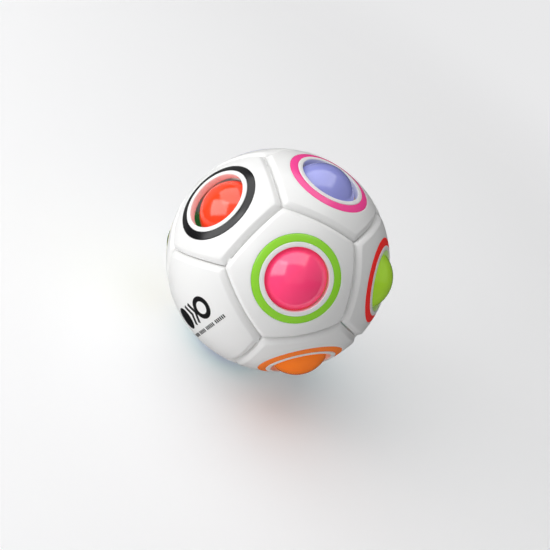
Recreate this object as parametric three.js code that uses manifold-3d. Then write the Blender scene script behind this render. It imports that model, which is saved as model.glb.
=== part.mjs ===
// A hand-held sliding-ball puzzle: a hollow plastic ball of twelve raised pentagon panels. Eleven panels
// have a round window with a coloured ring. Ten coloured balls look out of the windows and one window is
// empty, and a loose hollow ball in the middle keeps the coloured ones in their places.
//
// Millimetres. The origin is the centre of the ball and +Z leaves through the middle of the top panel.
import * as THREE from 'three';
import { mergeVertices } from 'three/addons/utils/BufferGeometryUtils.js';
import Module from 'manifold-3d';

const wasm = await Module();
wasm.setup();

// ---------------------------------------------------------------- driving dimensions

const SHELL_RADIUS = 35;
const WALL = 2.5;
const GAP = 0.3; // between pieces that touch on the real puzzle
const PARTING_LIFT = 0.18; // half of the gap at the zigzag, measured along Z because its sides slope

const WINDOW_RADIUS = 9.95;
const RING_INNER = 11.05;
const RING_OUTER = 13.4;
const RING_DEPTH = 1.1;

const GROOVE_DEPTH = 0.95;
const GROOVE_HALF_WIDTH = 1.7;
const GROOVE_STEPS = 3; // flat lengths of a groove, from corner to corner

const TAB_WIDTH = 6;
const TAB_REACH = 3.2; // how far a tab goes on each side of the parting line
const TAB_THICKNESS = 1.2;
const TAB_FOOT = 1.4; // from the parting line to where the tab's foot starts
const TAB_CLEARANCE = 0.9; // from the round inner wall to the tab's flat back

const BALL_RADIUS = 10.5;
const SEAT_RADIUS = 26.5; // from the middle of the puzzle to the centre of a seated ball

const CORE_RADIUS = 10.8;
const CORE_WALL = 1.5;
const COLLAR_OUTER = 8.85;
const COLLAR_INNER = 7.9;
const COLLAR_HEIGHT = 1.5;

// The pressed ball swings on an arc from its own window to the empty one, and the core makes room for it by
// going once round a small circle. Both arcs turn about axes parallel to TURN_AXIS.
const ARC_HALF_ANGLE = 40;
const PRESSED_ANGLE = 6.5; // how far the ball has already come from its seat
const CORE_TURNS_PER_TURN = -4.5; // a full circle of the core for a whole arc of the ball
const CORE_CIRCLE_RADIUS = 2.1;

const WINDOW_SEGMENTS = 24; // windows and rings
const CORE_SEGMENTS = 18;
const CORE_STEPS = 5; // from a bowl's pole to its rim
const OUTER_DETAIL = 5; // subdivisions of the icosahedron that a round surface starts from
const INNER_DETAIL = 4;
const BALL_DETAIL = 3;

const OUTSIDE = SHELL_RADIUS + 5; // clear of the shell, where cutting tools end
const TOOL_RISE = 1; // how far a groove's tool stands out of the shell
const WELD_DISTANCE = 1e-4; // closer points are the same point

// ---------------------------------------------------------------- colours

const COLOURS = {
  red: 0xe83420,
  orange: 0xfa7d23,
  yellow: 0xf7d21e,
  lime: 0x8cc836,
  green: 0x1f8f46,
  turquoise: 0x2bbfb3,
  sky: 0x4fb2e6,
  blue: 0x2a4fa8,
  purple: 0x8582cc,
  pink: 0xf03c78,
  black: 0x232326,
  white: 0xf3f3f1,
};

// ---------------------------------------------------------------- where the panels are

// The panel centres are the twelve corners of an icosahedron: one on top, five in an upper row, five in a
// lower row that is turned by half a step, and one at the bottom.
const STEP = 72;
const UPPER_START = -90;
const LOWER_START = UPPER_START + STEP / 2;
const ROW_SINE = 1 / Math.sqrt(5);

const PANELS = [
  { row: 'top', ring: 'pink', ball: 'purple' },
  { row: 'upper', place: 0, ring: 'lime', ball: 'pink' },
  { row: 'upper', place: 1, ring: 'red', ball: 'lime' },
  { row: 'upper', place: 2, ring: 'blue', ball: 'yellow' },
  { row: 'upper', place: 3, ring: 'purple', empty: true },
  { row: 'upper', place: 4, ring: 'black', ball: 'red', pressed: true },
  { row: 'lower', place: 0, ring: 'orange', ball: 'orange' },
  { row: 'lower', place: 1, ring: 'sky', ball: 'turquoise' },
  { row: 'lower', place: 2, ring: 'green', ball: 'sky' },
  { row: 'lower', place: 3, ring: 'yellow', ball: 'green' },
  { row: 'lower', place: 4, blank: true },
  { row: 'bottom', ring: 'turquoise', ball: 'blue' },
];

function panelDirection({ row, place = 0 }) {
  if (row === 'top') return new THREE.Vector3(0, 0, 1);
  if (row === 'bottom') return new THREE.Vector3(0, 0, -1);
  const upper = row === 'upper';
  const azimuth = THREE.MathUtils.degToRad((upper ? UPPER_START : LOWER_START) + STEP * place);
  const out = Math.sqrt(1 - ROW_SINE ** 2);
  return new THREE.Vector3(out * Math.cos(azimuth), out * Math.sin(azimuth), upper ? ROW_SINE : -ROW_SINE);
}

for (const panel of PANELS) {
  panel.direction = panelDirection(panel);
  panel.inUpperHalf = panel.direction.z > 0;
}
const windows = PANELS.filter((panel) => !panel.blank);

const areNeighbours = (a, b) => Math.abs(a.direction.dot(b.direction) - ROW_SINE) < 1e-6;

// A corner is where three panels meet, which is the middle of a face of the icosahedron.
const corners = [];
for (const [i, a] of PANELS.entries()) {
  for (const [j, b] of PANELS.entries()) {
    for (const [k, c] of PANELS.entries()) {
      if (i < j && j < k && areNeighbours(a, b) && areNeighbours(b, c) && areNeighbours(a, c)) {
        const direction = a.direction.clone().add(b.direction).add(c.direction).normalize();
        corners.push({ direction, panels: [a, b, c] });
      }
    }
  }
}

// The shell parts along the zigzag of grooves between the upper and the lower panels.
const zigzag = corners
  .filter(({ panels }) => new Set(panels.map((panel) => panel.inUpperHalf)).size === 2)
  .map(({ direction }) => direction)
  .sort((a, b) => Math.atan2(a.y, a.x) - Math.atan2(b.y, b.x));

// ---------------------------------------------------------------- solids and geometry

// A geometry of vertices and faces only, with shared vertices merged and flat faces dropped.
function weld(geometry) {
  const bare = new THREE.BufferGeometry();
  bare.setAttribute('position', geometry.getAttribute('position'));
  if (geometry.index) bare.setIndex(geometry.index);
  const merged = mergeVertices(bare, WELD_DISTANCE);
  const corner = merged.index.array;
  const faces = [];
  for (let i = 0; i < corner.length; i += 3) {
    const [a, b, c] = [corner[i], corner[i + 1], corner[i + 2]];
    if (a !== b && b !== c && c !== a) faces.push(a, b, c);
  }
  merged.setIndex(faces);
  return merged;
}

function toSolid(geometry) {
  const { attributes, index } = weld(geometry);
  return new wasm.Manifold(new wasm.Mesh({
    numProp: 3,
    vertProperties: Float32Array.from(attributes.position.array),
    triVerts: Uint32Array.from(index.array),
  }));
}

function toGeometry(solid) {
  const { vertProperties, triVerts } = solid.getMesh();
  const geometry = new THREE.BufferGeometry();
  geometry.setAttribute('position', new THREE.BufferAttribute(vertProperties, 3));
  geometry.setIndex(new THREE.BufferAttribute(triVerts, 1));
  return geometry;
}

function polyhedron(points, faces) {
  const geometry = new THREE.BufferGeometry().setFromPoints(points);
  geometry.setIndex(faces);
  return geometry;
}

const UP = new THREE.Vector3(0, 1, 0);
const turnTo = (direction) => new THREE.Quaternion().setFromUnitVectors(UP, direction);

// A body turned about a panel's axis, from [radius, height] pairs that go counterclockwise.
function turned(profile, segments) {
  const points = profile.map(([radius, height]) => new THREE.Vector2(radius, height));
  return new THREE.LatheGeometry(points, segments);
}

const heightOnSphere = (sphere, radius) => Math.sqrt(sphere ** 2 - radius ** 2);

// ---------------------------------------------------------------- shell

function windowTool({ direction }) {
  const hole = turned([[0, 0], [WINDOW_RADIUS, 0], [WINDOW_RADIUS, OUTSIDE], [0, OUTSIDE]], WINDOW_SEGMENTS);
  return toSolid(hole.applyQuaternion(turnTo(direction)));
}

// The annular recess for a ring. Its floor slopes as the shell does.
function recessTool({ direction }) {
  const inner = RING_INNER - GAP;
  const outer = RING_OUTER + GAP;
  const floor = (radius) => heightOnSphere(SHELL_RADIUS, radius) - RING_DEPTH - GAP;
  const start = [inner, floor(inner)];
  const profile = [start, [outer, floor(outer)], [outer, OUTSIDE], [inner, OUTSIDE], start];
  return toSolid(turned(profile, WINDOW_SEGMENTS).applyQuaternion(turnTo(direction)));
}

// A groove between two corners: a V section carried along the great circle through them.
function grooveTool(from, to) {
  const side = new THREE.Vector3().crossVectors(from, to).normalize();
  const halfWidth = GROOVE_HALF_WIDTH * (GROOVE_DEPTH + TOOL_RISE) / GROOVE_DEPTH;
  const points = [];
  const faces = [];
  for (let step = 0; step <= GROOVE_STEPS; step += 1) {
    const out = from.clone().lerp(to, step / GROOVE_STEPS).normalize();
    const rim = out.clone().multiplyScalar(SHELL_RADIUS + TOOL_RISE);
    points.push(
      out.clone().multiplyScalar(SHELL_RADIUS - GROOVE_DEPTH),
      rim.clone().addScaledVector(side, halfWidth),
      rim.clone().addScaledVector(side, -halfWidth),
    );
    if (step === 0) continue;
    const near = 3 * (step - 1);
    const far = 3 * step;
    for (const [a, b] of [[0, 1], [1, 2], [2, 0]]) {
      faces.push(near + a, near + b, far + b, near + a, far + b, far + a);
    }
  }
  const last = 3 * GROOVE_STEPS;
  faces.push(0, 2, 1, last, last + 1, last + 2);
  return toSolid(polyhedron(points, faces));
}

// Everything on one side of the parting surface, which is a fan of triangles from the middle of the puzzle
// out through the zigzag. Half of the gap is left on each side.
function halfSpace(isUpper) {
  const sign = isUpper ? 1 : -1;
  const lift = new THREE.Vector3(0, 0, sign * PARTING_LIFT);
  const reach = 2 * SHELL_RADIUS;
  const rim = zigzag.map((direction) => direction.clone().multiplyScalar(reach).add(lift));
  const lid = rim.map(({ x, y }) => new THREE.Vector3(x, y, sign * reach));
  const points = [lift, new THREE.Vector3(0, 0, sign * reach), ...rim, ...lid];
  const count = rim.length;
  const faces = [];
  for (let i = 0; i < count; i += 1) {
    const next = (i + 1) % count;
    const [a, b, c, d] = [2 + i, 2 + next, 2 + count + i, 2 + count + next];
    const triangles = [[0, b, a], [a, b, d], [a, d, c], [1, c, d]];
    for (const [p, q, r] of triangles) faces.push(...(isUpper ? [p, q, r] : [p, r, q]));
  }
  return toSolid(polyhedron(points, faces));
}

// A locating tab at a corner of the parting line. It grows from the wall of its own half and reaches behind
// the other half, clear of its inner wall.
function tabTool(direction, isUpper) {
  const back = SHELL_RADIUS - WALL - TAB_CLEARANCE;
  const front = back - TAB_THICKNESS;
  const root = SHELL_RADIUS - WALL / 2;
  const block = (near, far, low, high) => new THREE.BoxGeometry(TAB_WIDTH, high - low, far - near)
    .translate(0, (high + low) / 2, (far + near) / 2);
  const plate = toSolid(block(front, back, -TAB_REACH, TAB_REACH));
  const [footLow, footHigh] = isUpper ? [TAB_FOOT, TAB_REACH] : [-TAB_REACH, -TAB_FOOT];
  const foot = toSolid(block(front, root, footLow, footHigh));
  const across = new THREE.Vector3(-direction.y, direction.x, 0).normalize();
  const along = new THREE.Vector3().crossVectors(direction, across);
  const place = new THREE.Matrix4().makeBasis(across, along, direction);
  return plate.add(foot).transform(place.toArray());
}

const grooves = [];
for (const [i, a] of corners.entries()) {
  for (const b of corners.slice(i + 1)) {
    const shared = a.panels.filter((panel) => b.panels.includes(panel));
    if (shared.length === 2) grooves.push(grooveTool(a.direction, b.direction));
  }
}

function hollowShell() {
  const outside = toSolid(new THREE.IcosahedronGeometry(SHELL_RADIUS, OUTER_DETAIL));
  const inside = toSolid(new THREE.IcosahedronGeometry(SHELL_RADIUS - WALL, INNER_DETAIL));
  const tools = [...grooves, ...windows.map(windowTool), ...windows.map(recessTool)];
  return tools.reduce((solid, tool) => solid.subtract(tool), outside.subtract(inside));
}

function shellHalf(shell, isUpper) {
  const half = shell.intersect(halfSpace(isUpper));
  const tabs = zigzag
    .filter((direction) => direction.z > 0 === isUpper)
    .map((direction) => tabTool(direction, isUpper));
  return toGeometry(tabs.reduce((solid, tab) => solid.add(tab), half));
}

// ---------------------------------------------------------------- rings, balls and core

function ringGeometry() {
  const top = (radius) => heightOnSphere(SHELL_RADIUS, radius);
  const start = [RING_INNER, top(RING_INNER) - RING_DEPTH];
  return weld(turned([
    start,
    [RING_OUTER, top(RING_OUTER) - RING_DEPTH],
    [RING_OUTER, top(RING_OUTER)],
    [RING_INNER, top(RING_INNER)],
    start,
  ], WINDOW_SEGMENTS));
}

const ballGeometry = () => weld(new THREE.IcosahedronGeometry(BALL_RADIUS, BALL_DETAIL));

// Points of a quarter circle from the pole at -height to the rim, as [radius, height] pairs.
function bowlArc(radius, rimHeight) {
  const end = Math.asin(rimHeight / radius);
  return Array.from({ length: CORE_STEPS + 1 }, (_, i) => {
    const angle = THREE.MathUtils.lerp(-Math.PI / 2, end, i / CORE_STEPS);
    return [radius * Math.cos(angle), radius * Math.sin(angle)];
  });
}

// The core is two bowls. One has a collar that snaps into the other.
function coreBowl(hasCollar) {
  const innerRadius = CORE_RADIUS - CORE_WALL;
  const outer = bowlArc(CORE_RADIUS, -GAP / 2);
  if (!hasCollar) {
    return weld(turned([...outer, ...bowlArc(innerRadius, -GAP / 2).reverse()], CORE_SEGMENTS));
  }
  const collar = [
    [COLLAR_OUTER, -GAP / 2],
    [COLLAR_OUTER, COLLAR_HEIGHT],
    [COLLAR_INNER, COLLAR_HEIGHT],
  ];
  const inner = bowlArc(innerRadius, -heightOnSphere(innerRadius, COLLAR_INNER)).reverse();
  return weld(turned([...outer, ...collar, ...inner], CORE_SEGMENTS));
}

// ---------------------------------------------------------------- where the moving pieces rest

const pressedPanel = PANELS.find((panel) => panel.pressed);
const emptyPanel = PANELS.find((panel) => panel.empty);

const TURN_AXIS = new THREE.Vector3().crossVectors(emptyPanel.direction, pressedPanel.direction).normalize();
const betweenWindows = pressedPanel.direction.clone().add(emptyPanel.direction).normalize();

// The arc passes through both seats, so its centre lies outside the shell on the line between them.
function arcCentre() {
  const halfAngle = pressedPanel.direction.angleTo(betweenWindows);
  const halfChord = SEAT_RADIUS * Math.sin(halfAngle);
  const beyondChord = halfChord / Math.tan(THREE.MathUtils.degToRad(ARC_HALF_ANGLE));
  return betweenWindows.clone().multiplyScalar(SEAT_RADIUS * Math.cos(halfAngle) + beyondChord);
}

function swing(point, centre, degrees) {
  return point.clone().sub(centre).applyAxisAngle(TURN_AXIS, THREE.MathUtils.degToRad(degrees)).add(centre);
}

const seatOf = ({ direction }) => direction.clone().multiplyScalar(SEAT_RADIUS);
const pressedPlace = swing(seatOf(pressedPanel), arcCentre(), PRESSED_ANGLE);
const coreCircleCentre = betweenWindows.clone().multiplyScalar(-CORE_CIRCLE_RADIUS);
const corePlace = swing(new THREE.Vector3(), coreCircleCentre, PRESSED_ANGLE * CORE_TURNS_PER_TURN);

// ---------------------------------------------------------------- scene graph

function plastic(colour, roughness) {
  return new THREE.MeshStandardMaterial({ color: COLOURS[colour], roughness, metalness: 0 });
}

function addMesh(parent, name, geometry, material) {
  const mesh = new THREE.Mesh(geometry, material);
  mesh.name = name;
  parent.add(mesh);
  return mesh;
}

const puzzle = new THREE.Group();

const shell = hollowShell();
addMesh(puzzle, 'shell_upper', shellHalf(shell, true), plastic('white', 0.35));
addMesh(puzzle, 'shell_lower', shellHalf(shell, false), plastic('white', 0.35));

for (const panel of windows) {
  const ring = addMesh(puzzle, `ring_${panel.ring}`, ringGeometry(), plastic(panel.ring, 0.25));
  ring.quaternion.copy(turnTo(panel.direction));
  if (panel.empty) continue;
  const ball = addMesh(puzzle, `ball_${panel.ball}`, ballGeometry(), plastic(panel.ball, 0.2));
  ball.position.copy(panel.pressed ? pressedPlace : seatOf(panel));
  ball.quaternion.copy(turnTo(panel.direction));
}

const core = new THREE.Group();
core.position.copy(corePlace);
puzzle.add(core);
addMesh(core, 'core_bowl_collared', coreBowl(true), plastic('white', 0.4)).rotation.x = Math.PI / 2;
addMesh(core, 'core_bowl_plain', coreBowl(false), plastic('white', 0.4)).rotation.x = -Math.PI / 2;

export default puzzle;
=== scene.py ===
# %% [markdown]
# # A sliding-ball puzzle: a hollow football of twelve panels
#
# The real object is a 70 mm white plastic ball. Its skin is twelve raised pentagons with a bevelled
# groove between them. Eleven pentagons have a round window with a white lip and a coloured ring. Ten
# windows hold a coloured ball, and one is empty, so any ball next to it can be pushed inward and across.
#
# The whole shape follows from one regular solid, so this lesson works it out with numpy. A panel is a grid
# of points: each row runs once round the window, and the rows follow one another from the inside of the
# shell, over the window's lip, across the ring's channel and out to the groove. Sizes are in millimetres,
# as a moulder would draw them, and MM turns them into Blender's metres when a mesh is made.
#
# The first cell reads the fixed frame: the CAD model of every piece, where it belongs and what it moves
# with. Its box is kept, and the floor is laid just under it.

# %% The fixed frame
import itertools
import math

import bmesh
import bpy
import numpy as np
from mathutils import Matrix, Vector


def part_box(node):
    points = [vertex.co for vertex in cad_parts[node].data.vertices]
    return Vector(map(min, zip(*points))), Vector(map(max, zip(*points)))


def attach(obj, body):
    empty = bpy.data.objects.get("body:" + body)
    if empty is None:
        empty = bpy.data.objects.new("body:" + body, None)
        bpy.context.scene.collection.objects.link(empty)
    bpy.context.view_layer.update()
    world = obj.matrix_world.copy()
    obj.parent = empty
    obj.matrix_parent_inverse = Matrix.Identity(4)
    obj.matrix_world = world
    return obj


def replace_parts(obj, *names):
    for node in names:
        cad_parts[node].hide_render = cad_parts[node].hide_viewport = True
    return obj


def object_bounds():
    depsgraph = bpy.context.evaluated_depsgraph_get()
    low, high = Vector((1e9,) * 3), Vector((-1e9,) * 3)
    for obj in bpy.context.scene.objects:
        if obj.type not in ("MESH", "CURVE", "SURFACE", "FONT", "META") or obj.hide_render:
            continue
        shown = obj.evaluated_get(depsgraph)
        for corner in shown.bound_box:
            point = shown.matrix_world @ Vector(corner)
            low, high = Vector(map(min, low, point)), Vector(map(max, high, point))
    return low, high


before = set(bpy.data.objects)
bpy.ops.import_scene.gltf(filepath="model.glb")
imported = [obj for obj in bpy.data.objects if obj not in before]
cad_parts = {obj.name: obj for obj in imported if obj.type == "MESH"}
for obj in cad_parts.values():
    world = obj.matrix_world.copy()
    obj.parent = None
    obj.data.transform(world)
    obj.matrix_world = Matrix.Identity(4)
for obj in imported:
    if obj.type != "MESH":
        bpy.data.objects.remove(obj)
cad_low, cad_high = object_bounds()
MM = 0.001
print("CAD box in mm:", [round(c / MM, 1) for c in (*cad_low, *cad_high)])

# %% [markdown]
# ## The camera
#
# A hand holds the puzzle tilted, so what is up to the eye isn't the ball's own Z. Blender's camera looks
# along its local -Z with +Y up. Two directions in the ball's frame settle it: where the camera stands, and
# where its top points. Its right is their cross product. The field of view is narrow and the camera stands
# back 40 cm, which keeps the ball's outline close to a circle. The aim is a few millimetres below the
# middle, so the ball sits a little high.

# %% Camera
CAMERA_DISTANCE = 394.6  # mm from the middle of the ball
CAMERA_DIRECTION = np.array([-0.222, -0.835, 0.504])
CAMERA_TOP = np.array([-0.424, 0.548, 0.721])
FIELD_OF_VIEW = 24.72  # degrees
AIM_LEFT = 0.92  # mm to the left of the middle of the ball
AIM_BELOW = 4.68  # mm under it


def unit(vector):
    """The vector divided by its own length, along the last axis."""
    vector = np.asarray(vector, float)
    return vector / np.linalg.norm(vector, axis=-1, keepdims=True)


def aimed_matrix(position, target, top):
    """A world matrix whose -Z looks from position to target, with +Y as near to top as it can be."""
    back = unit(np.subtract(position, target))
    right = unit(np.cross(top, back))
    matrix = np.eye(4)
    matrix[:3, :3] = np.column_stack([right, np.cross(back, right), back])
    matrix[:3, 3] = np.multiply(position, MM)
    return Matrix(matrix.tolist())


camera_back = unit(CAMERA_DIRECTION)
camera_right = unit(np.cross(CAMERA_TOP, camera_back))
camera_up = np.cross(camera_back, camera_right)
camera_data = bpy.data.cameras.new("camera")
camera_data.angle = math.radians(FIELD_OF_VIEW)
camera = bpy.data.objects.new("camera", camera_data)
camera.matrix_world = aimed_matrix(
    camera_back * CAMERA_DISTANCE,
    -camera_right * AIM_LEFT - camera_up * AIM_BELOW,
    camera_up,
)
bpy.context.scene.collection.objects.link(camera)
bpy.context.scene.camera = camera
print("camera at", [round(c, 3) for c in camera.matrix_world.translation], "m")

# %% [markdown]
# ## Light
#
# A white ball on a white ground only shows its shape if one side is brighter. A soft box at the left is the
# key: it draws the square glint on each ball. A wide white ceiling gives most of the light and makes the
# slow fall from white to grey down the shell. A pale wall on the right, one behind and one in front only
# fill the shadows. Each is an area light. Its place is given in the camera's own directions (right, up,
# back). Colours are written as sRGB hex, as in any paint program, and shaders need them linear.

# %% Light
def to_linear(hex_colour):
    """sRGB hex to linear RGBA: each channel c becomes c/12.92 below 0.04045, else ((c+0.055)/1.055)^2.4."""
    channels = np.array([int(hex_colour[i : i + 2], 16) for i in (1, 3, 5)]) / 255
    linear = np.where(channels <= 0.04045, channels / 12.92, ((channels + 0.055) / 1.055) ** 2.4)
    return (*linear.tolist(), 1.0)


def in_camera_axes(right, up, back):
    """A direction given by its share of the camera's right, up and back, in the ball's frame."""
    return unit(right * camera_right + up * camera_up + back * camera_back)


def soft_box(name, direction, distance, width, height, power, top):
    """A rectangular area light that stands off in a direction, in mm, and faces the ball."""
    data = bpy.data.lights.new(name, "AREA")
    data.shape = "RECTANGLE"
    data.size = width * MM
    data.size_y = height * MM
    data.energy = power
    light = bpy.data.objects.new(name, data)
    light.matrix_world = aimed_matrix(direction * distance, np.zeros(3), top)
    bpy.context.scene.collection.objects.link(light)
    return light


KEY_TOP = in_camera_axes(0.205, 0.65, -0.174)  # the soft box hangs a little tilted
BOXES = {  # name: direction, distance, width, height, watts, top
    "key": (in_camera_axes(-0.73, 0.37, 0.56), 620, 680, 490, 2.5, KEY_TOP),
    "top": (in_camera_axes(0.05, 0.92, 0.38), 900, 1500, 1100, 7.90, camera_back),
    "right_wall": (in_camera_axes(0.90, 0.35, 0.25), 1000, 1400, 1400, 1.00, camera_up),
    "behind": (in_camera_axes(-0.50, 0.60, -0.60), 900, 900, 900, 0.45, camera_up),
    "front": (in_camera_axes(0.10, 0.15, 0.98), 1000, 1400, 1400, 1.55, camera_up),
}
for name, settings in BOXES.items():
    soft_box(f"{name}_box", *settings).visible_camera = False
    print(f"{name} light: {settings[4]} W, {settings[2]} by {settings[3]} mm, {settings[1]} mm away")

# %% [markdown]
# ## The room
#
# The room itself gives almost no light, or it would wash out the shading. The camera sees it pale all the
# same, so that a low view doesn't end in a dark horizon. The world's shader therefore mixes two strengths
# of one colour and picks by the kind of ray. From here on, every shader tree is built with one small
# function, which adds a node with its settings and its links.

# %% Room
def add_node(tree, kind, settings=None, **inputs):
    """Adds a node. settings are its attributes; inputs are socket values, or an output to link from."""
    node = tree.nodes.new(kind)
    for key, value in (settings or {}).items():
        setattr(node, key, value)
    for key, value in inputs.items():
        socket = node.inputs[key.replace("_", " ")]
        if isinstance(value, bpy.types.NodeSocket):
            tree.links.new(value, socket)
        else:
            socket.default_value = value
    return node


ROOM_COLOUR = "#F4F4F5"
ROOM_BRIGHTNESS = 0.9  # as the camera sees it
ROOM_LIGHT = 0.04  # as the ball is lit by it
world = bpy.data.worlds.new("pale_room")
world.use_nodes = True
room = world.node_tree
room.nodes.clear()
dim = add_node(room, "ShaderNodeBackground", Color=to_linear(ROOM_COLOUR), Strength=ROOM_LIGHT)
pale = add_node(room, "ShaderNodeBackground", Color=to_linear(ROOM_COLOUR), Strength=ROOM_BRIGHTNESS)
seen = add_node(room, "ShaderNodeLightPath").outputs["Is Camera Ray"]
either = add_node(room, "ShaderNodeMixShader", Fac=seen)
room.links.new(dim.outputs["Background"], either.inputs[1])
room.links.new(pale.outputs["Background"], either.inputs[2])
add_node(room, "ShaderNodeOutputWorld", Surface=either.outputs["Shader"])
bpy.context.scene.world = world
bpy.context.scene.view_settings.view_transform = "Standard"
print("room:", len(room.nodes), "nodes")

# %% [markdown]
# ## Making a mesh from arrays
#
# Every piece here is a grid of points: some rows, each with the same number of columns, joined by
# four-sided faces. One function joins a grid. Another turns the arrays into a mesh, merges the points
# where two grids meet, and prints how many triangles the piece has and whether it is closed. A volume that
# came out negative would say that the faces point inward.

# %% Helpers for grids and meshes
def grid_faces(rows, columns, start=0, close_rows=False):
    """Faces of a grid that wraps round its columns. The corners of a face are (row, column), (next row,
    column), (next row, next column) and (row, next column). With close_rows the last row joins the first."""
    row = np.arange(rows if close_rows else rows - 1)[:, None]
    column = np.arange(columns)[None, :]
    below = (row + 1) % rows
    beside = (column + 1) % columns
    corners = [(row, column), (below, column), (below, beside), (row, beside)]
    return np.stack([r * columns + c for r, c in corners], axis=-1).reshape(-1, 4) + start


MERGE_DISTANCE = 0.0004  # mm


def make_piece(name, points, faces, material, body, smooth=True):
    """A mesh object from points in mm. Doubles are merged and flat faces dropped. The piece rides on a body
    of the frame and fills one of its material slots."""
    mesh = bpy.data.meshes.new(name)
    mesh.from_pydata((np.asarray(points) * MM).tolist(), [], np.asarray(faces).tolist())
    working = bmesh.new()
    working.from_mesh(mesh)
    bmesh.ops.remove_doubles(working, verts=working.verts, dist=MERGE_DISTANCE * MM)
    bmesh.ops.dissolve_degenerate(working, edges=working.edges, dist=MERGE_DISTANCE * MM)
    open_edges = sum(not edge.is_manifold for edge in working.edges)
    triangles = sum(len(face.verts) - 2 for face in working.faces)
    volume = working.calc_volume(signed=True) / MM**3
    working.to_mesh(mesh)
    working.free()
    mesh.polygons.foreach_set("use_smooth", np.full(len(mesh.polygons), smooth))
    mesh.materials.append(material)
    piece = bpy.data.objects.new(name, mesh)
    bpy.context.scene.collection.objects.link(piece)
    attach(piece, body)
    print(f"{name}: {triangles} triangles, {volume:.1f} mm3, {open_edges} open edges")
    return piece


def rounded_path(corners, steps=4):
    """A polyline with its corners rounded. Each corner is (x, y, cut): the path leaves the straight line at
    cut before the corner and joins the next at cut after it, along a parabola that touches both."""
    corners = np.asarray(corners, float)
    path = [corners[0, :2]]
    for before, here, after in zip(corners[:-2], corners[1:-1], corners[2:]):
        start = here[:2] + unit(before[:2] - here[:2]) * here[2]
        end = here[:2] + unit(after[:2] - here[:2]) * here[2]
        t = np.linspace(0, 1, steps)[:, None]
        path.extend((1 - t) ** 2 * start + 2 * t * (1 - t) * here[:2] + t**2 * end)
    path.append(corners[-1, :2])
    return np.array(path)


def axis_frame(axis, hint):
    """Two unit vectors square to the axis; the first leans towards the hint."""
    first = unit(hint - np.dot(hint, axis) * axis)
    return first, np.cross(axis, first)


def turned(profile, axis, columns, centre=(0, 0, 0)):
    """A surface of revolution: point = centre + height * axis + radius * (cos t * u + sin t * v). u may be
    any direction square to the axis, so the hint only has to be parallel to none of the axes."""
    u, v = axis_frame(axis, np.array([0.31, 0.52, 0.80]))
    t = np.linspace(0, 2 * np.pi, columns, endpoint=False)
    round_axis = np.cos(t)[:, None] * u + np.sin(t)[:, None] * v
    radius, height = profile[:, 0], profile[:, 1]
    points = height[:, None, None] * axis + radius[:, None, None] * round_axis[None, :, :]
    return points.reshape(-1, 3) + np.asarray(centre)


# %% [markdown]
# ## Materials
#
# Everything is injection-moulded ABS, a hard plastic with an index of refraction of 1.54. What differs is
# the colour and how well the mould was polished, so one function makes every finish:
#
# - the mould was spark-eroded, which leaves a fine grain: a noise pattern of some tenths of a millimetre,
#   used as bump. The real grain is finer still, and this is as fine as can be seen.
# - the melt never mixes quite evenly: a faint drift of tone and of gloss over about a centimetre.
# - the balls are lacquered, which puts a second, sharper gloss over the first: the shader's coat.
# - rings and balls get a painted glow: a weak emission of their own colour, which adds a little more light
#   than falls on them and keeps the shaded side vivid.
#
# Patterns read Object coordinates, so they stay on the piece when it moves.

# %% Moulded plastic
def new_material(name):
    """A material with its tree and a Principled shader already joined to the output."""
    material = bpy.data.materials.new(name)
    material.use_nodes = True
    tree = material.node_tree
    tree.nodes.clear()
    shader = add_node(tree, "ShaderNodeBsdfPrincipled")
    add_node(tree, "ShaderNodeOutputMaterial", Surface=shader.outputs["BSDF"])
    return material, tree, shader


ABS_IOR = 1.54
LACQUER_IOR = 1.5
LACQUER_ROUGHNESS = 0.16
DRIFT_MM = 9


def moulded_abs(name, colour, roughness, grain_mm, grain_depth_mm, mottle=0.03, coat=0.0, painted_glow=0.0):
    """Moulded ABS. The tone drifts from the colour to a share 2 * mottle darker, and the roughness by a
    tenth either way. coat is the lacquer's cover, and painted_glow the strength of a painted glow: a weak
    emission of the colour itself, which lights the shaded side."""
    material, tree, shader = new_material(name)
    shader.inputs["IOR"].default_value = ABS_IOR
    shader.inputs["Coat Weight"].default_value = coat
    shader.inputs["Coat Roughness"].default_value = LACQUER_ROUGHNESS
    shader.inputs["Coat IOR"].default_value = LACQUER_IOR
    place = add_node(tree, "ShaderNodeTexCoord").outputs["Object"]
    drift = add_node(tree, "ShaderNodeTexNoise", Vector=place, Scale=1 / (DRIFT_MM * MM), Detail=2.0)
    base = np.array(to_linear(colour))
    # Painted glow: the piece emits a little light in its own colour, which brightens its shaded side.
    shader.inputs["Emission Color"].default_value = base.tolist()
    shader.inputs["Emission Strength"].default_value = painted_glow
    darker = (*(base[:3] * (1 - 2 * mottle)).tolist(), 1.0)
    tone = add_node(tree, "ShaderNodeMix", {"data_type": "RGBA"}, Factor=drift.outputs["Fac"])
    tone.inputs[6].default_value = darker
    tone.inputs[7].default_value = base.tolist()
    tree.links.new(tone.outputs[2], shader.inputs["Base Color"])
    gloss = add_node(
        tree, "ShaderNodeMapRange", Value=drift.outputs["Fac"], To_Min=roughness * 0.9, To_Max=roughness * 1.1
    )
    tree.links.new(gloss.outputs["Result"], shader.inputs["Roughness"])
    grain = add_node(tree, "ShaderNodeTexNoise", Vector=place, Scale=1 / (grain_mm * MM), Detail=3.0)
    bump = add_node(
        tree, "ShaderNodeBump", Height=grain.outputs["Fac"], Distance=grain_depth_mm * MM, Strength=1.0
    )
    tree.links.new(bump.outputs["Normal"], shader.inputs["Normal"])
    return material


# %% [markdown]
# ## Colours
#
# The pigments are strong and opaque, so one sRGB value says each. Rings and balls are meant to match, but
# they are moulded in separate batches, and a few of the balls come out a little brighter or paler than
# their ring. The ring that no ball matches is black. The shell is satin, the rings are glossy, and the core
# is plain uncoloured ABS with a coarser grain, since nobody was meant to look at it.

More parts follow.
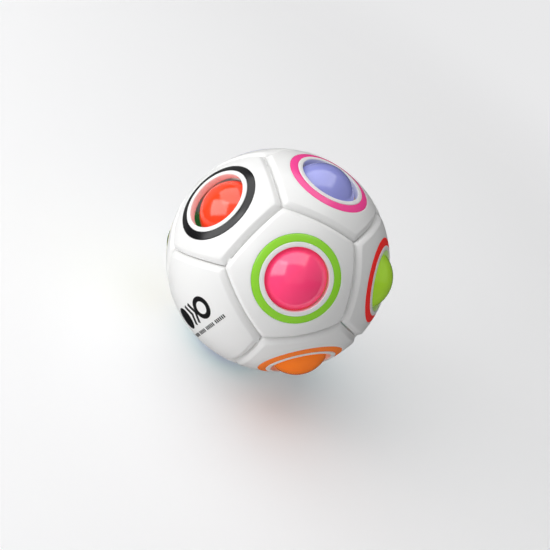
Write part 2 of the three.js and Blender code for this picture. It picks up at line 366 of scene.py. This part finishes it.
# %% Pigments
PIGMENTS = {
    "red": "#E8301C",
    "orange": "#FA7D1E",
    "yellow": "#F6CF1C",
    "lime": "#84C82C",
    "green": "#1C8C42",
    "turquoise": "#25B8AC",
    "sky": "#48ACE4",
    "blue": "#2448A4",
    "purple": "#7F82CE",
    "pink": "#F02C62",
    "black": "#131315",
}
# Strengths of the painted glow that brightens the shaded side of the rings and of the balls.
PAINTED_RING_GLOW = 0.17
PAINTED_BALL_GLOW = 0.24
RING_PIGMENTS = {**PIGMENTS, "pink": "#F04894", "lime": "#8CD034", "red": "#F02A26", "orange": "#F67E30"}
BALL_PIGMENTS = {
    **PIGMENTS,
    "lime": "#A8D832", "red": "#FA421A", "pink": "#FF4278", "orange": "#FF7E1E", "purple": "#8C90D2",
}
shell_white = moulded_abs("satin_white_abs", "#F4F4F3", 0.30, 0.35, 0.004, 0.01)
core_white = moulded_abs("natural_abs", "#E6E4DC", 0.45, 0.5, 0.01, 0.02)
ring_finish = {
    name: moulded_abs(f"gloss_abs_{name}_ring", colour, 0.22, 0.6, 0.002, painted_glow=PAINTED_RING_GLOW)
    for name, colour in RING_PIGMENTS.items()
}
ball_finish = {
    name: moulded_abs(f"lacquered_abs_{name}_ball", colour, 0.18, 0.8, 0.002, coat=1.0, painted_glow=PAINTED_BALL_GLOW)
    for name, colour in BALL_PIGMENTS.items()
    if name != "black"
}
print(len(ring_finish), "ring colours,", len(ball_finish), "ball colours")

# %% [markdown]
# ## Where the panels are
#
# The frame already says it: each ring is a node of the CAD model, and the direction of its middle is the
# direction of its window. The twelfth panel is blank. It faces whichever direction makes the twelve add up
# to nothing, as the corners of a regular solid do.

# %% Panel directions from the frame
def node_points(node):
    """The vertices of a CAD node, in mm."""
    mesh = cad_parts[node].data
    points = np.empty(len(mesh.vertices) * 3, np.float32)
    mesh.vertices.foreach_get("co", points)
    return points.reshape(-1, 3).astype(float) / MM


def node_middle(node):
    """The middle of a CAD node's box, in mm."""
    low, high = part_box(node)
    return (np.array(low) + np.array(high)) / 2 / MM


ring_colours = [node.removeprefix("ring_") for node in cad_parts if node.startswith("ring_")]
ball_colours = [node.removeprefix("ball_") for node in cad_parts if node.startswith("ball_")]
window_axes = {colour: unit(node_points(f"ring_{colour}").mean(axis=0)) for colour in ring_colours}
blank_axis = unit(-sum(window_axes.values()))
panel_axes = np.array([*window_axes.values(), blank_axis])
has_window = [True] * len(window_axes) + [False]
neighbour_cosine = 1 / math.sqrt(5)
print("blank panel faces", blank_axis.round(3))

# %% [markdown]
# ## The shell
#
# The shell is a ball with grooves, and it could be cut out of a sphere with booleans, but those leave ragged
# faces that show in the gloss. Here the height is a formula instead. A pentagon's outer border lies on five
# great circles, one halfway to each neighbour. For a point in direction x, the distance to a border with
# unit normal m is R * asin(x . m). The groove only depends on that distance, so its sides stay the same
# width along every border and meet in a mitre at the corners. Each side is a bevel that rounds over into
# the face, and a narrow slot runs along the bottom, which is the dark line between two panels.

# %% Sizes of the shell
SHELL_RADIUS = 35.0
WALL = 2.5
INNER_RADIUS = SHELL_RADIUS - WALL
WINDOW_RADIUS = 9.52
WINDOW_INNER_RADIUS = 9.56
LIP_HEIGHT = 0.08  # over the sphere, beside the ring
LIP_FALL = 0.15  # the lip slopes down into the hole
NARROW_END = 0.75  # the hole narrows up to this far under the sphere, then runs straight
INNER_REACH = 11.6  # where the section starts on the inner wall, outside the hole
RING_INNER = 11.02
RING_OUTER = 13.28
CHANNEL_SLACK = 0.04  # each side of the ring
CHANNEL_DEPTH = 1.2
FACE_START = 14.4  # from the window's axis to where the face begins, outside the channel

GROOVE_DEPTH = 1.25
GROOVE_HALF_WIDTH = 1.95
GROOVE_POWER = 1.3  # 1 would be a flat bevel; more rounds it towards the face
SLOT_DEPTH = 0.7
SLOT_HALF_WIDTH = 0.26
PARTING_LIFT = 0.06  # half of the hairline between the two shell halves, along Z

SECTOR_COLUMNS = 36
COLUMNS = 5 * SECTOR_COLUMNS
BORDER_ANGLE = math.acos(neighbour_cosine) / 2


def on_sphere(radius, across):
    """Height of a point of a sphere that lies this far from the axis: the root of R^2 - across^2."""
    return math.sqrt(radius**2 - across**2)


def groove_depth(distance):
    """How far the surface lies under the sphere at a distance d from the groove's middle: a rounded bevel,
    D * (1 - d / W)^p inside the half width W, and a narrow slot, S * exp(-(d / w)^2), at its bottom."""
    bevel = GROOVE_DEPTH * np.clip(1 - distance / GROOVE_HALF_WIDTH, 0, None) ** GROOVE_POWER
    return bevel + SLOT_DEPTH * np.exp(-((distance / SLOT_HALF_WIDTH) ** 2))


def corner_distance(directions, borders, power=5):
    """Distance to the nearest border, in mm, rounded where two are equally near: the distances' negative
    power mean, which is nought on a border and never more than the smallest of them."""
    distances = SHELL_RADIUS * np.arcsin(np.clip(directions @ borders.T, 1e-5, 1))
    return (distances**-power).sum(axis=-1) ** (-1 / power)


groove_check = groove_depth(np.array([0.0, 1.0, GROOVE_HALF_WIDTH]))
print("groove depth in mm at its middle, 1 mm off and at its edge:", groove_check.round(2))

# %% [markdown]
# ## A window
#
# The window's section is drawn once, as (distance from the axis, height) pairs with rounded corners: up the
# wall of the hole, over the white lip, down into the ring's channel and up again to the face. It is turned
# about the window's axis later.

# %% The section through a window
def window_section():
    """The turned part of a panel, from the inner wall through the hole to the face outside the ring. A
    height is the sphere's own at that distance from the axis, more or less a step."""
    top = lambda across: on_sphere(SHELL_RADIUS, across)
    inner_wall = RING_INNER - CHANNEL_SLACK
    outer_wall = RING_OUTER + CHANNEL_SLACK
    return rounded_path([
        (INNER_REACH, on_sphere(INNER_RADIUS, INNER_REACH), 0),
        (WINDOW_INNER_RADIUS, on_sphere(INNER_RADIUS, WINDOW_INNER_RADIUS), 0.3),
        (WINDOW_RADIUS, top(WINDOW_RADIUS) - NARROW_END, 0.3),
        (WINDOW_RADIUS, top(WINDOW_RADIUS) - LIP_FALL, 0.3),
        (inner_wall, top(inner_wall) + LIP_HEIGHT, 0.22),
        (inner_wall, top(inner_wall) - CHANNEL_DEPTH, 0.1),
        (outer_wall, top(outer_wall) - CHANNEL_DEPTH, 0.1),
        (outer_wall, top(outer_wall), 0.18),
        (FACE_START, top(FACE_START), 0),
    ])


section = window_section()
print("window section has", len(section), "points")

# %% [markdown]
# ## One panel
#
# Rows near the groove follow its border, so that the slot, the bevel and the shoulder each lie along a
# line of the grid. For a border at angle B from the panel's axis, and a column at angle s from the middle
# of its side, the point at distance d from the border is at the angle a from the axis that satisfies
# cos a sin B - sin a cos B cos s = sin(d / R). Further in, the rows go over to circles, which is what the
# window needs. The lists say where the rows lie: closer together where the surface bends more.

# %% One panel as a grid
BORDER_ROWS = np.array([  # mm from the border
    3.6, 2.8, 2.3, 2.05, 1.9, 1.65, 1.35, 1.0, 0.7, 0.48, 0.34, 0.25, 0.18, 0.11, 0.05, 0.0
])
BLEND_ROWS = np.array([0.3, 0.65])  # share of the way from the window's circle to the border rows
INNER_ROWS = np.array([0.0, 0.2, 0.45, 0.7, 0.9])  # share of the way in from the border, on the inner wall
BLANK_ROWS = np.array([0.0, 0.12, 0.25, 0.4, 0.55, 0.7, 0.82, 0.92])  # on both walls of the blank panel

side_angle = np.radians(72 * (np.arange(COLUMNS) % SECTOR_COLUMNS) / SECTOR_COLUMNS - 36)


def angle_at(distance):
    """The angle from the panel's axis to the line at this distance from the border, for every column."""
    a = math.sin(BORDER_ANGLE)
    b = math.cos(BORDER_ANGLE) * np.cos(side_angle)
    return np.arccos(math.sin(distance / SHELL_RADIUS) / np.hypot(a, b)) - np.arctan2(b, a)


class Panel:
    """A panel's axis, the directions of its columns, its five borders, and which of them part the halves."""

    def __init__(self, axis):
        """The borders' normals are unit(axis - neighbour). Columns start at the corner between the last
        neighbour and the first, so that column number / SECTOR_COLUMNS is the side it lies in."""
        self.axis = axis
        cosines = panel_axes @ axis
        around = panel_axes[np.abs(cosines - neighbour_cosine) < 1e-3]
        first = unit(around[0] - (around[0] @ axis) * axis)
        second = np.cross(axis, first)
        turn = np.arctan2(around @ second, around @ first)
        neighbours = around[np.argsort(turn % (2 * np.pi))]
        self.borders = unit(axis - neighbours)
        u, v = axis_frame(axis, unit(axis + neighbours[0] + neighbours[-1]))
        t = 2 * np.pi * np.arange(COLUMNS) / COLUMNS
        self.round_axis = np.cos(t)[:, None] * u + np.sin(t)[:, None] * v
        self.parts_from = [axis[2] * neighbour[2] < 0 for neighbour in neighbours]

    def directions(self, angles):
        """Unit vectors at the given angles from the axis, one row of angles per row of the grid."""
        angles = np.asarray(angles)[..., None]
        return np.cos(angles) * self.axis + np.sin(angles) * self.round_axis

    def on_parting_line(self):
        """For each column, whether its border point is shared with the other half of the shell."""
        sector = np.arange(COLUMNS) // SECTOR_COLUMNS
        parts = np.array(self.parts_from)
        return parts[sector] | (parts[sector - 1] & (np.arange(COLUMNS) % SECTOR_COLUMNS == 0))


def face_rows(panel, start_angle):
    """The outer face from a start angle to the border: rows that go over from a circle to the pentagon, and
    then rows that follow the border down the bevel."""
    edge = angle_at(BORDER_ROWS[0])
    blend = [start_angle + share * (edge - start_angle) for share in BLEND_ROWS]
    angles = np.array([*blend, *[angle_at(distance) for distance in BORDER_ROWS]])
    directions = panel.directions(angles)
    depth = groove_depth(corner_distance(directions, panel.borders))
    return directions * (SHELL_RADIUS - depth)[..., None]


def inner_rows(panel, end_angle, shares):
    """The inner wall from the border to an end angle: rows at the given shares of the way."""
    start = angle_at(0.0)
    angles = np.array([start + share * (end_angle - start) for share in shares])
    return panel.directions(angles) * INNER_RADIUS


def panel_grid(axis, window):
    """Rows of points from the inside of the border, through the window, to the outside of the border. A
    blank panel has two blocks, its inner and its outer wall, which each close on the axis."""
    panel = Panel(axis)
    if window:
        inside = inner_rows(panel, math.asin(section[0, 0] / INNER_RADIUS), INNER_ROWS)
        heights = section[:, 1, None, None] * axis
        rim = heights + section[:, 0, None, None] * panel.round_axis
        outside = face_rows(panel, math.asin(FACE_START / SHELL_RADIUS))
        blocks = [np.concatenate([inside, rim, outside])]
    else:
        inside = inner_rows(panel, 0.0, [*BLANK_ROWS, 1.0])
        middle = panel.directions(np.array([share * angle_at(BORDER_ROWS[0]) for share in BLANK_ROWS]))
        outside = face_rows(panel, angle_at(BORDER_ROWS[0]) * BLANK_ROWS[-1])
        blocks = [inside, np.concatenate([middle * SHELL_RADIUS, outside])]
    lift = np.where(panel.on_parting_line(), PARTING_LIFT * np.sign(axis[2]), 0.0)
    blocks[0][0, :, 2] += lift
    blocks[-1][-1, :, 2] += lift
    return panel, blocks


print("a panel with a window:", sum(len(block) for block in panel_grid(panel_axes[0], True)[1]), "rows")

# %% [markdown]
# ## The two halves
#
# Six such panels make one half. They share their border points, so merging doubles sews them together. Only
# along the zigzag where the two halves part does a grid need a wall from its outer border to its inner one.
# The halves stand a hair apart there, as two glued mouldings do.

# %% The two shell halves
def parting_wall(panel, first_outer, first_inner):
    """Faces that close the shell's edge along the sides that meet the other half."""
    faces = []
    for side, parts in enumerate(panel.parts_from):
        if not parts:
            continue
        column = np.arange(side * SECTOR_COLUMNS, (side + 1) * SECTOR_COLUMNS)
        beside = (column + 1) % COLUMNS
        faces.append(np.column_stack([
            first_outer + column, first_inner + column, first_inner + beside, first_outer + beside,
        ]))
    return faces


def shell_half(name, upward):
    """One moulding: the six panels whose axes point to the same side, and the walls of its parting edge."""
    points, faces, count = [], [], 0
    for axis, window in zip(panel_axes, has_window):
        if (axis[2] > 0) != upward:
            continue
        panel, blocks = panel_grid(axis, window)
        first_inner = count
        for block in blocks:
            faces.append(grid_faces(len(block), COLUMNS, count))
            points.append(block.reshape(-1, 3))
            count += len(block) * COLUMNS
        faces.extend(parting_wall(panel, count - COLUMNS, first_inner))
    points, faces = np.concatenate(points), np.concatenate(faces)
    return make_piece(name, points, faces, shell_white, "shell")


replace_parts(shell_half("shell_half_upper", True), "shell_upper")
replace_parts(shell_half("shell_half_lower", False), "shell_lower")

# %% [markdown]
# ## Rings
#
# Each ring is a separate coloured moulding pressed into its channel. It could be painted on the shell, but
# then it would have no edge. Its top follows the sphere, and its edges are rounded so that they catch a
# thin line of light. A closed section is turned about the window's axis.

# %% Rings
RING_CROWN = 0.03  # the middle of the top stands this far over the sphere
FOOT_GAP = 0.1  # between the ring and the floor of its channel


def ring_section():
    """(radius, height) round the ring's section, starting and ending in the middle of its inner side."""
    top = lambda across: on_sphere(SHELL_RADIUS, across)
    middle = (RING_INNER + RING_OUTER) / 2
    foot = CHANNEL_DEPTH - FOOT_GAP
    corners = [
        (RING_INNER, top(RING_INNER) - foot, 0.1),
        (RING_OUTER, top(RING_OUTER) - foot, 0.1),
        (RING_OUTER, top(RING_OUTER), 0.22),
        (middle, top(middle) + RING_CROWN, 0.3),
        (RING_INNER, top(RING_INNER), 0.22),
    ]
    start = (*np.add(corners[0][:2], corners[-1][:2]) / 2, 0)
    return rounded_path([start, *corners, start])[:-1]


profile = ring_section()
faces = grid_faces(len(profile), COLUMNS, close_rows=True)[:, ::-1]
for colour, axis in window_axes.items():
    node = f"ring_{colour}"
    points = turned(profile, axis, COLUMNS)
    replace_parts(make_piece(f"{node}_moulding", points, faces, ring_finish[colour], "shell"), node)

# %% [markdown]
# ## Balls
#
# A ball is two cups welded together. The weld leaves a hair of a ridge round the middle, and the mould's
# gate leaves a small flat spot at one pole. Balls roll freely, so each one here lies with its gate inward. A
# UV sphere would do for the shape, but not for the ridge, so the ball is a profile turned about the line
# from the puzzle's middle. Each ball rides on a body of its own.

# %% Balls
BALL_RADIUS = 10.5
BALL_COLUMNS = 96
SEAM_HEIGHT = 0.02
SEAM_WIDTH = 0.12
GATE_RADIUS = 0.9


def ball_profile():
    """Latitude from pole to pole, denser at the seam: radius = R + seam * exp(-(height / width)^2), and no
    point reaches lower than the gate's flat."""
    even = np.linspace(-np.pi / 2, np.pi / 2, 61)
    near_seam = np.array([-2.4, -1.6, -0.8, 0.8, 1.6, 2.4]) * SEAM_WIDTH / BALL_RADIUS
    latitude = np.sort(np.concatenate([even, near_seam]))
    height = BALL_RADIUS * np.sin(latitude)
    radius = BALL_RADIUS + SEAM_HEIGHT * np.exp(-((height / SEAM_WIDTH) ** 2))
    lowest = -on_sphere(BALL_RADIUS, GATE_RADIUS)
    profile = np.column_stack([radius * np.cos(latitude), np.maximum(radius * np.sin(latitude), lowest)])
    profile[0, 0] = 0
    profile[-1, 0] = 0
    return profile


profile = ball_profile()
faces = grid_faces(len(profile), BALL_COLUMNS)[:, ::-1]
for colour in ball_colours:
    node = f"ball_{colour}"
    centre = node_middle(node)
    points = turned(profile, unit(centre), BALL_COLUMNS, centre)
    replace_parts(make_piece(f"{node}_moulding", points, faces, ball_finish[colour], node), node)

# %% [markdown]
# ## Locating tabs
#
# Five tabs stand on the inside of each half, at the corners of the parting line, and reach behind the other
# half so that the two can't slide over each other. A tab is an L-shaped section carried across its width.
# Its ends shrink to one point of the section from which all of its outline can be seen, which closes them
# and rounds their edges.

# %% Tabs
TAB_WIDTH = 6.0
TAB_REACH = 3.2  # on each side of the parting line
TAB_THICKNESS = 1.2
TAB_CLEARANCE = 0.9  # behind the other half's wall
TAB_FOOT = 1.4  # from the parting line to the foot
TAB_ENDS = np.array([(0, 0), (0, 0.9), (0.06, 0.97), (0.2, 1)])  # distance from the end, size of the section


def tab_section():
    """(along, out) pairs round the L: the plate lies inside the wall and its foot runs up into it."""
    back = INNER_RADIUS - TAB_CLEARANCE
    front = back - TAB_THICKNESS
    root = INNER_RADIUS + WALL / 2
    corners = [
        (-TAB_REACH, front, 0.25), (TAB_REACH, front, 0.25), (TAB_REACH, root, 0.1),
        (TAB_FOOT, root, 0.1), (TAB_FOOT, back, 0.2), (-TAB_REACH, back, 0.25),
    ]
    start = (0, front, 0)
    return rounded_path([start, *corners[1:], corners[0], start])[:-1]


def locating_tabs(name, corners, own_side):
    """Five tabs as one piece. At each corner, a point is offset * across + along * t + out * corner, where
    the section is scaled towards its kernel by the size that belongs to the offset."""
    outline = tab_section()
    kernel = np.array([(TAB_FOOT + TAB_REACH) / 2, INNER_RADIUS - TAB_CLEARANCE - TAB_THICKNESS / 2])
    offset = np.concatenate([TAB_ENDS[:, 0] - TAB_WIDTH / 2, TAB_WIDTH / 2 - TAB_ENDS[::-1, 0]])
    size = np.concatenate([TAB_ENDS[:, 1], TAB_ENDS[::-1, 1]])
    section = kernel + size[:, None, None] * (outline - kernel)
    points, faces = [], []
    for number, corner in enumerate(corners):
        across = unit(np.cross([0, 0, own_side], corner))
        along = np.cross(corner, across)
        block = offset[:, None, None] * across + section[..., :1] * along + section[..., 1:] * corner
        faces.append(grid_faces(len(offset), len(outline), number * block.size // 3)[:, ::-1])
        points.append(block.reshape(-1, 3))
    points, faces = np.concatenate(points), np.concatenate(faces)
    return make_piece(name, points, faces, shell_white, "shell")


def on_zigzag(three):
    """Whether three panels meet in a corner of the parting line: all are neighbours, and not all of them
    are in the same half."""
    a, b, c = three
    meet = np.allclose([a @ b, b @ c, c @ a], neighbour_cosine, atol=1e-3)
    return meet and abs(sum(np.sign(axis[2]) for axis in three)) == 1


zigzag = [unit(sum(three)) for three in itertools.combinations(panel_axes, 3) if on_zigzag(three)]
locating_tabs("locating_tabs_upper", [corner for corner in zigzag if corner[2] > 0], 1)
locating_tabs("locating_tabs_lower", [corner for corner in zigzag if corner[2] < 0], -1)

# %% [markdown]
# ## The core
#
# The balls would fall in without something to rest on. A loose hollow core fills the middle, moulded as two
# bowls. One has a collar that snaps into the other. Each bowl is turned from a profile like the rings, and
# the two meet in a hairline. The core rides on its own body, because it moves aside when a ball passes.

# %% Core
CORE_RADIUS = 10.8
CORE_WALL = 1.5
CORE_GAP = 0.15  # from the rim to the middle plane, on each side
CORE_COLUMNS = 96
COLLAR_OUTER = 8.85
COLLAR_INNER = 7.9
COLLAR_HEIGHT = 1.5


def bowl_profile(has_collar):
    """(radius, height) from the outer pole to the inner one. The bowl opens upward at height 0."""
    inner = CORE_RADIUS - CORE_WALL
    outer_arc = np.linspace(-np.pi / 2, -0.06, 25)
    rim = [(CORE_RADIUS * math.cos(0.06), -CORE_RADIUS * math.sin(0.06), 0), (CORE_RADIUS, -CORE_GAP, 0.2)]
    if has_collar:
        foot = -on_sphere(inner, COLLAR_INNER)
        rim += [
            (COLLAR_OUTER, -CORE_GAP, 0.1), (COLLAR_OUTER, COLLAR_HEIGHT, 0.25),
            (COLLAR_INNER, COLLAR_HEIGHT, 0.25), (COLLAR_INNER, foot, 0.1),
            (COLLAR_INNER * 0.99, foot * 1.02, 0),
        ]
        inner_end = math.asin(foot / inner) - 0.03
    else:
        rim += [(inner, -CORE_GAP, 0.2), (inner, -0.6, 0)]
        inner_end = -0.6 / inner
    inner_arc = np.linspace(inner_end, -np.pi / 2, 25)[1:]
    arc = lambda radius, angle: np.column_stack([radius * np.cos(angle), radius * np.sin(angle)])
    profile = np.concatenate([arc(CORE_RADIUS, outer_arc)[:-1], rounded_path(rim), arc(inner, inner_arc)])
    profile[[0, -1], 0] = 0
    return profile


bowls = ["core_bowl_collared", "core_bowl_plain"]
boxes = [np.array(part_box(bowl)) / MM for bowl in bowls]
core_middle = (np.min([b[0] for b in boxes], axis=0) + np.max([b[1] for b in boxes], axis=0)) / 2
for bowl in bowls:
    opening = unit(core_middle - node_middle(bowl))
    profile = bowl_profile("collared" in bowl)
    points = turned(profile, opening, CORE_COLUMNS, core_middle)
    faces = grid_faces(len(profile), CORE_COLUMNS)[:, ::-1]
    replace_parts(make_piece(f"{bowl}_moulding", points, faces, core_white, "core"), bowl)

# %% [markdown]
# ## The printed sign
#
# The blank panel carries a pad-printed sign: a ball, two chevrons and an empty ring, which say how the
# puzzle is played, over a row of short ticks. Pad printing lays down a film of ink a few hundredths of a
# millimetre thick, black and only half glossy. An image would need a file and blur when seen from near, so
# the ink is a mesh. Each stroke is a flat section carried along a path that is drawn on the panel in
# millimetres and then laid on the sphere.

# %% Sign
INK_HEIGHT = 0.03
INK_ROOT = -0.04  # the film starts a little inside the plastic, so no gap can show
INK_IOR = 1.5
SIGN_ALONG = np.array([0.029257, -0.540801, 0.840641])  # the sign's row, in the ball's frame
SIGN_STROKE = 1.6
SIGN_SIZE = 3.7  # radius of the ball and of the ring
SIGN_ROW = 1.3  # height of the big signs over the panel's middle
TICK_ROW = -4.7
TICK_PLACES = np.linspace(-10.4, 12.2, 27)
DISC_PLACE = -6.3
RING_PLACE = 6.3
CHEVRON_PLACES = (-1.9, 0.6)
CHEVRON_POINT = 1.9  # how far its tip stands ahead
CHEVRON_REACH = SIGN_SIZE * 0.9  # above and below its tip
CHEVRON_STROKE = SIGN_STROKE * 0.7
TICK_HALF_HEIGHT = 0.6
TICK_WIDTH = 0.5
TICK_GROUP = 7  # each seventh place stays empty
printing_ink, _, ink_shader = new_material("pad_print_ink")
ink_shader.inputs["Base Color"].default_value = to_linear("#161618")
ink_shader.inputs["Roughness"].default_value = 0.42
ink_shader.inputs["IOR"].default_value = INK_IOR

sign_right, sign_up = axis_frame(blank_axis, SIGN_ALONG)


def laid_on_panel(flat, radius):
    """Points (right, up) in mm on the panel's middle, rolled onto a sphere: the distance from the panel's
    axis becomes an angle."""
    reach = np.linalg.norm(flat, axis=-1, keepdims=True)
    heading = (flat[..., :1] * sign_right + flat[..., 1:] * sign_up) / np.maximum(reach, 1e-9)
    angle = reach / SHELL_RADIUS
    return (np.cos(angle) * blank_axis + np.sin(angle) * heading) * radius[..., None]


def stroke(path, width, closed=False):
    """An ink stroke: at each point of the path a flat section of the given width, from just under the
    plastic to the film's height. The sections are mitred: each lies along (n1 + n2) / (1 + n1 . n2), where
    n1 and n2 are the normals of the two lines that meet there. Open ends close on the path itself."""
    path = np.asarray(path, float)
    ends = np.roll(path, -1, 0) if closed else path[1:]
    along = unit(ends - path[: len(ends)])
    normal = np.column_stack([-along[:, 1], along[:, 0]])
    before = np.roll(normal, 1, 0) if closed else normal[[0, *range(len(normal))]]
    after = normal if closed else normal[[*range(len(normal)), -1]]
    mitre = (before + after) / (1 + (before * after).sum(axis=1, keepdims=True)) * width / 2
    section = np.array([
        (-1, INK_ROOT), (-1, INK_HEIGHT), (0, INK_HEIGHT), (1, INK_HEIGHT), (1, INK_ROOT), (0, INK_ROOT),
    ])
    flat = path[:, None, :] + mitre[:, None, :] * section[None, :, :1]
    radius = np.broadcast_to(SHELL_RADIUS + section[:, 1], flat.shape[:2])
    if not closed:
        flat = np.concatenate([np.repeat(path[:1, None], 6, 1), flat, np.repeat(path[-1:, None], 6, 1)])
        middle = np.full((1, 6), SHELL_RADIUS)
        radius = np.concatenate([middle, radius, middle])
    return laid_on_panel(flat, radius), closed


def circle(middle, radius, columns=64):
    """Points round a circle: middle + radius * (cos t, sin t)."""
    t = np.linspace(0, 2 * np.pi, columns, endpoint=False)
    return np.add(middle, radius * np.column_stack([np.cos(t), np.sin(t)]))


def straight(start, end, steps=8):
    """Evenly spaced points of a straight line, enough of them to follow the sphere."""
    return np.linspace(start, end, steps)


def chevron(x):
    """Two straight lines that meet in a tip, CHEVRON_POINT ahead of their ends."""
    low, high = (x, SIGN_ROW - CHEVRON_REACH), (x, SIGN_ROW + CHEVRON_REACH)
    tip = (x + CHEVRON_POINT, SIGN_ROW)
    return np.concatenate([straight(low, tip), straight(tip, high)[1:]])


def printed_sign():
    """All strokes as one piece. The disc is a ring whose hole is almost nothing."""
    strokes = [
        stroke(circle((DISC_PLACE, SIGN_ROW), SIGN_SIZE / 2), SIGN_SIZE * 0.999, closed=True),
        stroke(circle((RING_PLACE, SIGN_ROW), SIGN_SIZE - SIGN_STROKE / 2), SIGN_STROKE, closed=True),
    ]
    strokes += [stroke(chevron(x), CHEVRON_STROKE) for x in CHEVRON_PLACES]
    low, high = TICK_ROW - TICK_HALF_HEIGHT, TICK_ROW + TICK_HALF_HEIGHT
    for number, x in enumerate(TICK_PLACES):
        if number % TICK_GROUP != TICK_GROUP - 1:
            strokes.append(stroke(straight((x, low), (x, high), 3), TICK_WIDTH))
    points, faces, count = [], [], 0
    for block, closed in strokes:
        faces.append(grid_faces(*block.shape[:2], count, close_rows=closed))
        points.append(block.reshape(-1, 3))
        count += block.size // 3
    points, faces = np.concatenate(points), np.concatenate(faces)
    return make_piece("printed_sign", points, faces, printing_ink, "shell", smooth=False)


printed_sign()

# %% [markdown]
# ## The floor
#
# The ball stands on a sheet of white paper on a light table, which is how small white things are often
# shown: light comes up through the sheet, so it glows a little and casts no shadow of its own. Far from the
# ball its brightness runs smoothly into the room's, by a mix that depends on the distance from the ball's
# middle. Its back is clear, so that a low view still shows the underside of the ball.

# %% Floor
FLOOR_HALF = 30000
FLOOR_GAP = 0.3  # under the lowest ball
FADE_START = 220  # mm from the middle of the ball
FADE_END = 420
PAPER_GLOW = 0.15
floor_mesh = bpy.data.meshes.new("floor")
floor_z = cad_low.z / MM - FLOOR_GAP
floor_points = [(x * FLOOR_HALF, y * FLOOR_HALF, floor_z) for x, y in ((-1, -1), (1, -1), (1, 1), (-1, 1))]
floor_mesh.from_pydata((np.array(floor_points) * MM).tolist(), [], [(0, 1, 2, 3)])
floor = bpy.data.objects.new("floor", floor_mesh)
bpy.context.scene.collection.objects.link(floor)
paper, tree, shader = new_material("matt_white_paper")
shader.inputs["Base Color"].default_value = to_linear("#F6F6F7")
shader.inputs["Roughness"].default_value = 0.9
shader.inputs["Emission Color"].default_value = to_linear("#FFFFFF")
shader.inputs["Emission Strength"].default_value = PAPER_GLOW
far = add_node(tree, "ShaderNodeEmission", Color=to_linear(ROOM_COLOUR), Strength=ROOM_BRIGHTNESS)
place = add_node(tree, "ShaderNodeTexCoord").outputs["Object"]
reach = add_node(tree, "ShaderNodeVectorMath", {"operation": "LENGTH"})
tree.links.new(place, reach.inputs[0])
fade = add_node(
    tree, "ShaderNodeMapRange", {"interpolation_type": "SMOOTHSTEP"},
    Value=reach.outputs["Value"], From_Min=FADE_START * MM, From_Max=FADE_END * MM,
)
sheet = add_node(tree, "ShaderNodeMixShader", Fac=fade.outputs["Result"])
tree.links.new(shader.outputs["BSDF"], sheet.inputs[1])
tree.links.new(far.outputs["Emission"], sheet.inputs[2])
clear = add_node(tree, "ShaderNodeBsdfTransparent")
below = add_node(tree, "ShaderNodeNewGeometry").outputs["Backfacing"]
one_sided = add_node(tree, "ShaderNodeMixShader", Fac=below)
tree.links.new(sheet.outputs["Shader"], one_sided.inputs[1])
tree.links.new(clear.outputs["BSDF"], one_sided.inputs[2])
tree.links.new(one_sided.outputs["Shader"], tree.nodes["Material Output"].inputs["Surface"])
floor_mesh.materials.append(paper)
floor.visible_shadow = False
floor.visible_glossy = False
print("floor at", round(floor_z, 2), "mm, with", len(tree.nodes), "nodes in its paper")
